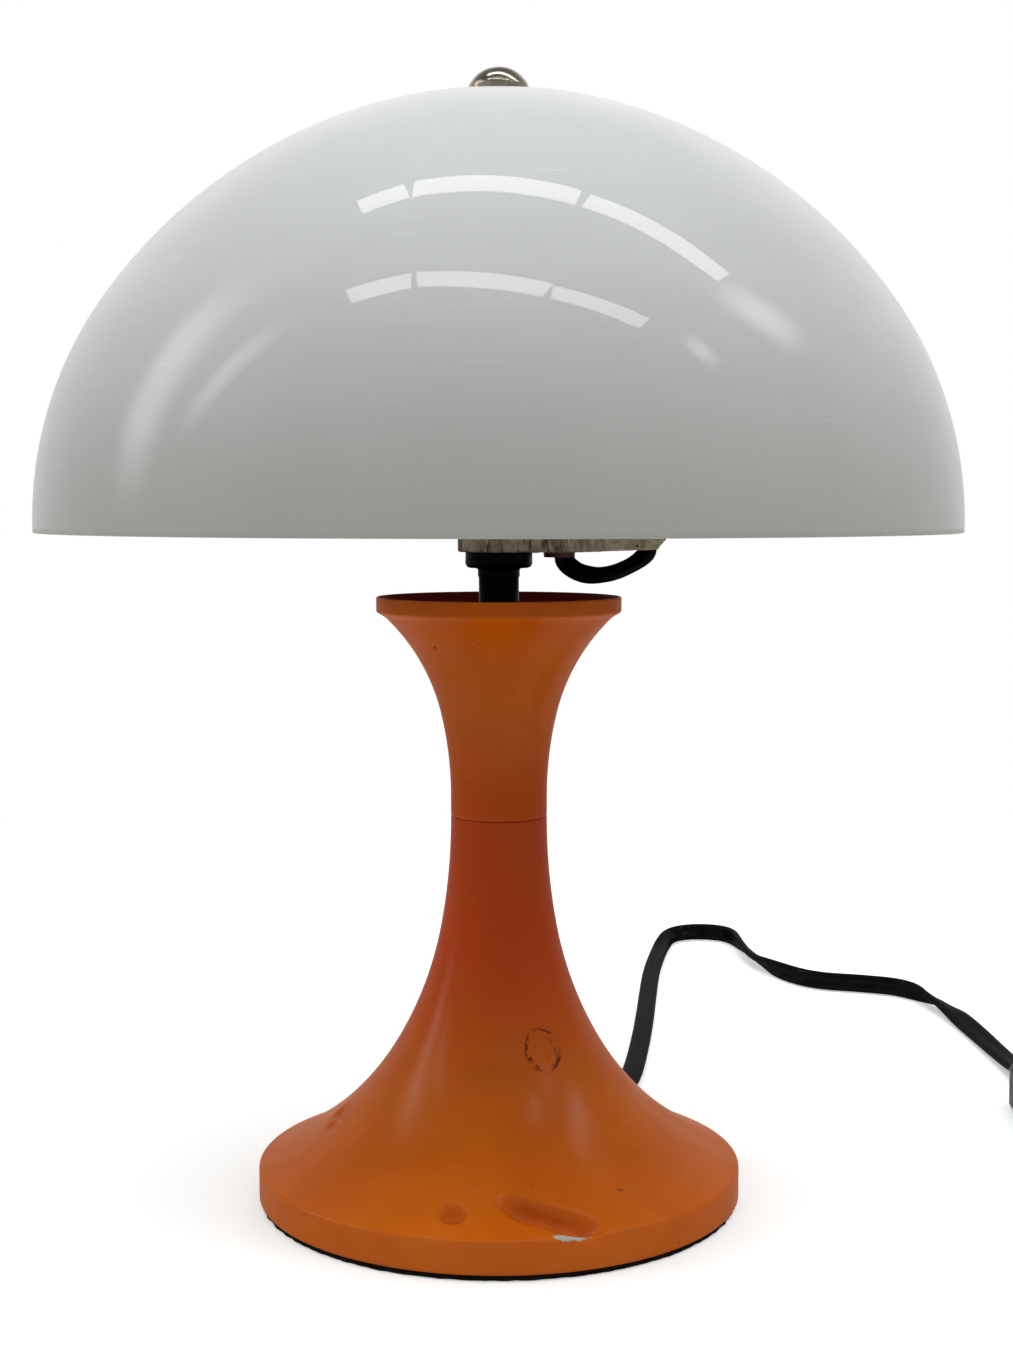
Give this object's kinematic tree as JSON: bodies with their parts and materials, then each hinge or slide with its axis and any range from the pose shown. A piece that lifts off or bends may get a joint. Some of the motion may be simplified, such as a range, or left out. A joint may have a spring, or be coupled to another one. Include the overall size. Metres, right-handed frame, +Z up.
{
  "type": "mushroom table lamp",
  "caption": "Small table lamp: an opal dome on a threaded stem over a flared trumpet foot, with a side arm, a lampholder, a flat cord, a rocker switch and a plug.",
  "frame": {"origin": "on the stem's axis, at the underside of the felt that the lamp rests on", "axes": "+Z up along the stem, +X along the arm, towards the lampholder"},
  "size_m": [0.3759, 0.4604, 0.3105],
  "materials": {
    "felt": "fibrous, ragged edge",
    "orange_paint": "satin sprayed paint with dents, chips and scratches",
    "cast_iron": "rough casting",
    "zinc": "zinc plated",
    "black_rubber": "matt",
    "black_plastic": "moulded, slightly worn",
    "black_paint": "black paint on thread",
    "grey_casting": "rough, stained casting",
    "red_fibre": "fibre",
    "brass": "dull",
    "black_bakelite": "polished moulding",
    "cord_jacket": "soft sheen",
    "nickel": "worn nickel plate",
    "opal_acrylic": "polished, finely scratched",
    "opal_glass": "opal"
  },
  "bodies": {
    "stand": {"felt_pad": "felt", "foot_trumpet": "orange_paint", "ballast_weight": "cast_iron", "base_washer": "zinc", "base_nut": "zinc", "cord_grommet": "black_rubber", "cord_clamp": "black_plastic", "clamp_screws": "zinc", "stem_tube": "black_paint", "bell_cup": "orange_paint", "neck_washer": "zinc", "neck_nut": "zinc", "stem_collar": "black_paint", "bracket_arm": "grey_casting", "arm_washer": "zinc", "arm_nut": "zinc", "arm_bush": "red_fibre", "holder_nipple": "brass", "holder_nut": "brass", "holder_cap": "black_bakelite", "holder_body": "black_bakelite", "holder_shell": "brass", "holder_contact": "brass", "holder_terminals": "brass", "seat_washer": "zinc", "seat_nut": "zinc", "cord_in_foot": "cord_jacket", "cord_in_stem": "cord_jacket", "holder_cord": "cord_jacket", "lamp_lead": "cord_jacket", "coil_lead": "cord_jacket", "cord_coil": "cord_jacket", "plug_lead": "cord_jacket", "switch_base": "black_plastic", "switch_cover": "black_plastic", "switch_screws": "zinc", "plug_body": "black_plastic", "plug_pins": "nickel"},
    "shade": {"shade_dome": "opal_acrylic"},
    "finial": {"finial_nut": "nickel", "finial_washer": "nickel"},
    "bulb": {"bulb_glass": "opal_glass", "bulb_cap": "nickel", "bulb_tip": "brass"},
    "rocker": {"switch_rocker": "black_plastic"}
  },
  "joints": [
    {"name": "shade_lift", "type": "slide", "parent": "stand", "child": "shade", "axis": [0, 0, 1], "range_m": [0, 0.125]},
    {"name": "finial_turn", "type": "hinge", "parent": "shade", "child": "finial", "pos_m": [0, 0, 0.305], "axis": [0, 0, 1], "continuous": true},
    {"name": "bulb_turn", "type": "hinge", "parent": "stand", "child": "bulb", "pos_m": [0.039, 0, 0.21], "axis": [0, 0, 1], "continuous": true},
    {"name": "switch_rock", "type": "hinge", "parent": "stand", "child": "rocker", "pos_m": [0.1741, 0.0565, 0.0102], "axis": [0.9998, -0.0175, 0], "range_deg": [-16, 0]}
  ]
}
